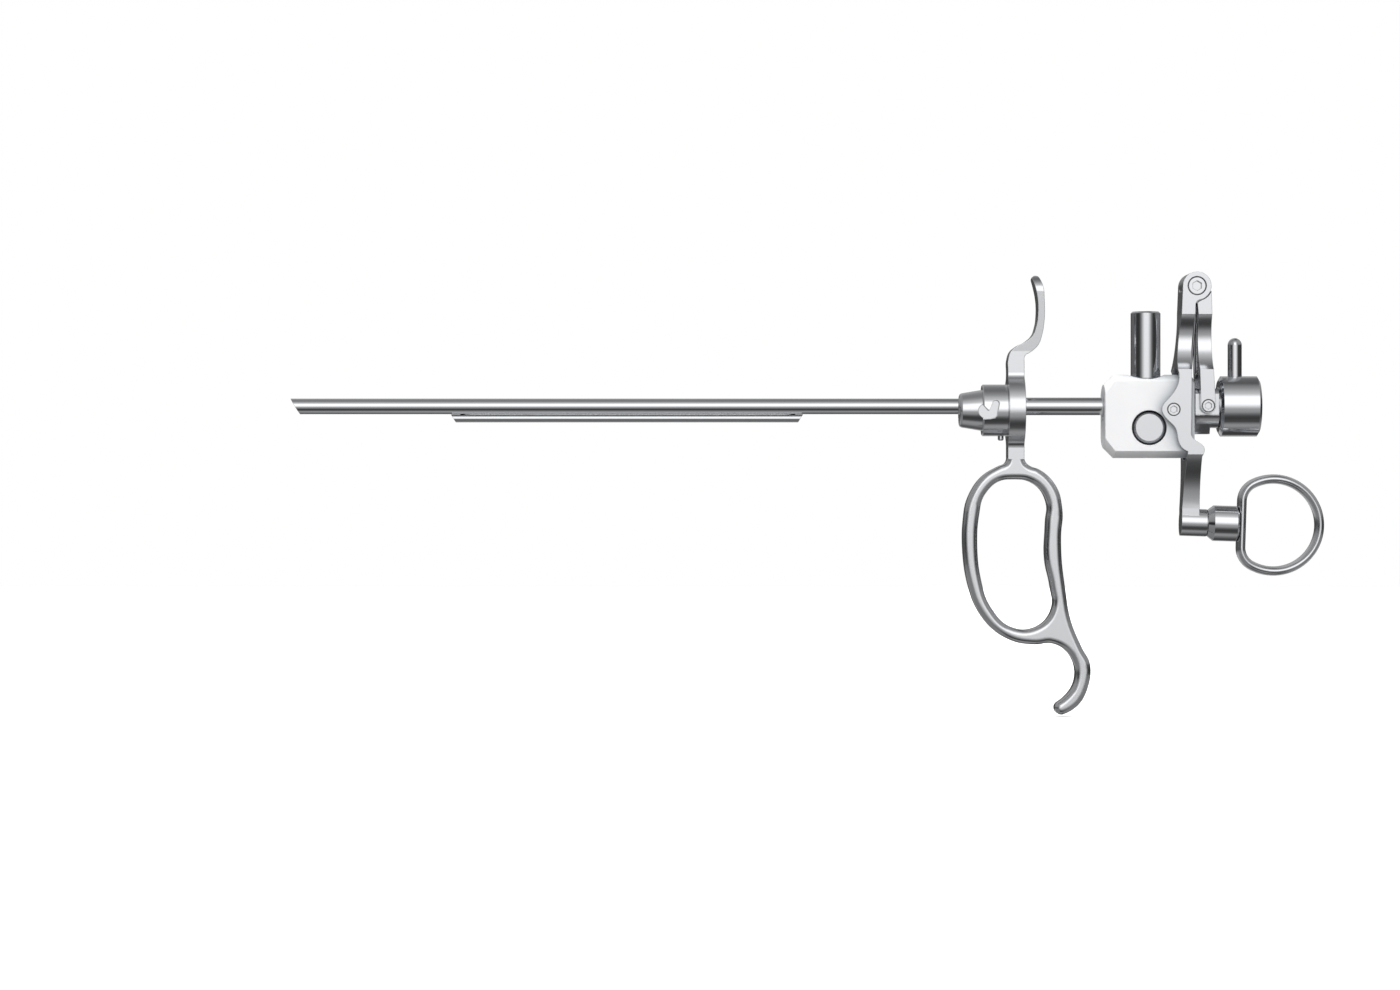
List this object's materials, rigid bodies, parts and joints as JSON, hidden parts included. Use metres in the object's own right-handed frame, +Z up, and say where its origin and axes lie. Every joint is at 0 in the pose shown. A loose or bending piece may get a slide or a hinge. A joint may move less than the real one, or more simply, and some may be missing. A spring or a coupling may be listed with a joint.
{
  "type": "resectoscope working element",
  "caption": "Hand-held working element for a bipolar resectoscope: guide tube, finger-loop handle, sliding polymer block with a bipolar socket, spring-return lever and swivelling thumb ring.",
  "frame": {"origin": "on the telescope axis, in the front face of the handle's plate", "axes": "+X back along the telescope axis towards the surgeon, +Z up towards the finger rest, +Y to the far side"},
  "size_m": [0.3099, 0.021, 0.1325],
  "materials": {
    "polished_steel": "polished stainless steel",
    "satin_steel": "fine satin stainless steel",
    "spring_steel": "bright spring wire",
    "white_polymer": "smooth machined white polymer",
    "grey_polymer": "smooth moulded insulator",
    "contact_brass": "gold-plated contact",
    "seal_rubber": "soft black seal"
  },
  "bodies": {
    "frame": {"guide_tube": "polished_steel", "rear_guide_tube": "polished_steel", "stabilizer_sleeve": "polished_steel", "sheath_cone": "polished_steel", "bayonet_barrel": "polished_steel", "index_pin": "polished_steel", "handle_frame": "satin_steel", "rear_bridge": "satin_steel", "telescope_seal": "seal_rubber", "seal_gland": "polished_steel", "link_pivot_screws": "polished_steel", "lock_ring_clip": "polished_steel"},
    "carriage": {"carriage_block": "white_polymer", "hf_socket_sleeve": "polished_steel", "hf_insulator": "grey_polymer", "hf_contact_pin": "contact_brass", "contact_strip": "contact_brass", "lock_cap": "polished_steel", "keeper_pin": "polished_steel", "lever_pivot_screws": "polished_steel"},
    "electrode_lock": {"lock_button": "polished_steel", "lock_spring": "spring_steel"},
    "lever": {"thumb_lever": "satin_steel", "top_pivot_screw": "polished_steel", "ring_post": "polished_steel", "swivel_nut": "polished_steel"},
    "link": {"rear_link": "satin_steel", "return_spring": "spring_steel"},
    "thumb_swivel": {"ring_collar": "polished_steel", "thumb_ring": "polished_steel"},
    "telescope_lock": {"lock_ring": "polished_steel", "lock_lever_pin": "polished_steel"}
  },
  "joints": [
    {"name": "carriage_slide", "type": "slide", "parent": "frame", "child": "carriage", "axis": [-1, 0, 0], "range_m": [0, 0.022], "stiffness_N_per_m": 250, "springref_m": -0.012},
    {"name": "lever_pivot", "type": "hinge", "parent": "carriage", "child": "lever", "pos_m": [0.049, 0, -0.0011], "axis": [0, 1, 0], "range_deg": [0, 15.25]},
    {"name": "link_pivot", "type": "hinge", "parent": "frame", "child": "link", "pos_m": [0.0594, 0, 0], "axis": [0, 1, 0], "range_deg": [-20.52, 0], "deforming": ["return_spring"]},
    {"name": "lock_button_press", "type": "slide", "parent": "carriage", "child": "electrode_lock", "axis": [0, 1, 0], "range_m": [0, 0.0022], "stiffness_N_per_m": 600, "springref_m": -0.0015, "deforming": ["lock_spring"]},
    {"name": "thumb_ring_swivel", "type": "hinge", "parent": "lever", "child": "thumb_swivel", "pos_m": [0.052, 0, -0.0347], "axis": [0.9995, 0, -0.0314], "continuous": true},
    {"name": "lock_ring_turn", "type": "hinge", "parent": "frame", "child": "telescope_lock", "pos_m": [0.0694, 0, 0], "axis": [1, 0, 0], "range_deg": [0, 75]}
  ],
  "couplings": [
    {"joint": "lever_pivot", "follows": "carriage_slide", "rad_per_m": 12.06},
    {"joint": "link_pivot", "follows": "carriage_slide", "rad_per_m": -16.24}
  ]
}
